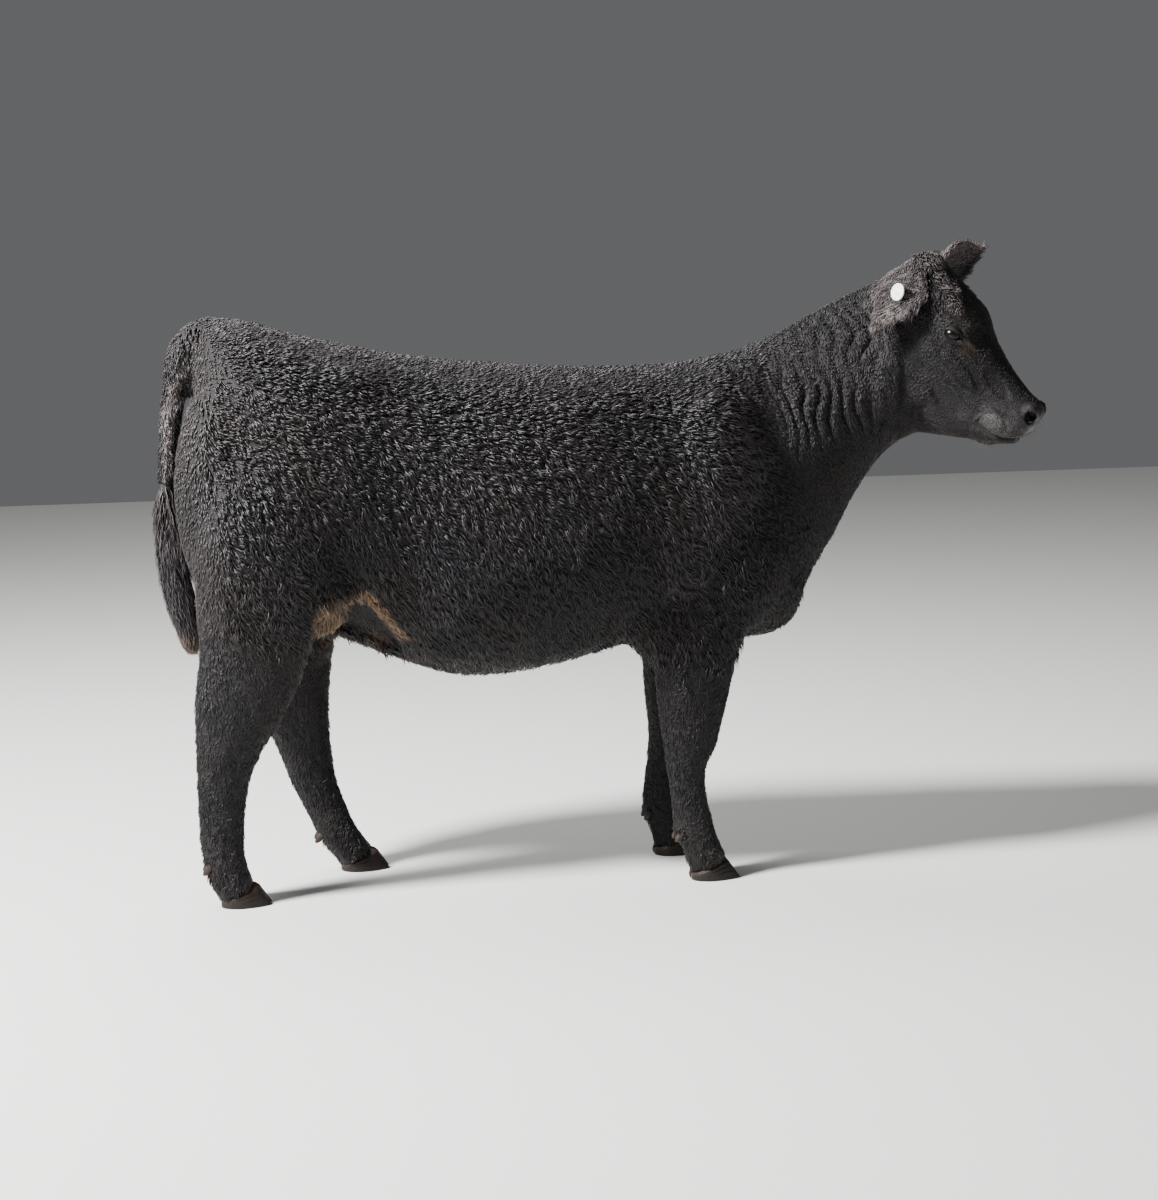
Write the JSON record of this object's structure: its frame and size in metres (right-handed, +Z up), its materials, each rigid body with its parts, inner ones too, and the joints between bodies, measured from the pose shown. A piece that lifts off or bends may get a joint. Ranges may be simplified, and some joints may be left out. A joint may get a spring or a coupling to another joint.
{
  "type": "maine-anjou heifer",
  "caption": "Life-size still model of a young black heifer standing square, head turned slightly to its right, one ear drooping with a round tag, short shaggy coat and a bushy tail.",
  "frame": {"origin": "on the floor, under the middle of the whole animal", "axes": "+X toward the head, +Y toward the animal's left side, +Z up"},
  "size_m": [1.7486, 0.4991, 1.246],
  "materials": {
    "coat": "short dense hair, soft sheen",
    "switch_hair": "long wavy hair",
    "eye": "wet, glossy",
    "horn": "dull ridged horn",
    "pale_horn": "dull horn",
    "tag_plastic": "moulded, slightly worn"
  },
  "bodies": {
    "root": {"torso": "coat", "neck": "coat", "head": "coat", "ear_left": "coat", "ear_right": "coat", "eye_left": "eye", "eye_right": "eye", "ear_tag": "tag_plastic", "tail_dock": "coat", "tail_switch": "switch_hair", "hindleg_left": "coat", "hindleg_right": "coat", "foreleg_left": "coat", "foreleg_right": "coat", "hind_left_claw_outer": "horn", "hind_left_claw_inner": "horn", "hind_right_claw_outer": "horn", "hind_right_claw_inner": "horn", "fore_left_claw_outer": "horn", "fore_left_claw_inner": "horn", "fore_right_claw_outer": "horn", "fore_right_claw_inner": "horn", "hind_left_dewclaw_outer": "pale_horn", "hind_left_dewclaw_inner": "pale_horn", "hind_right_dewclaw_outer": "pale_horn", "hind_right_dewclaw_inner": "pale_horn", "fore_left_dewclaw_outer": "pale_horn", "fore_left_dewclaw_inner": "pale_horn", "fore_right_dewclaw_outer": "pale_horn", "fore_right_dewclaw_inner": "pale_horn"}
  },
  "joints": []
}
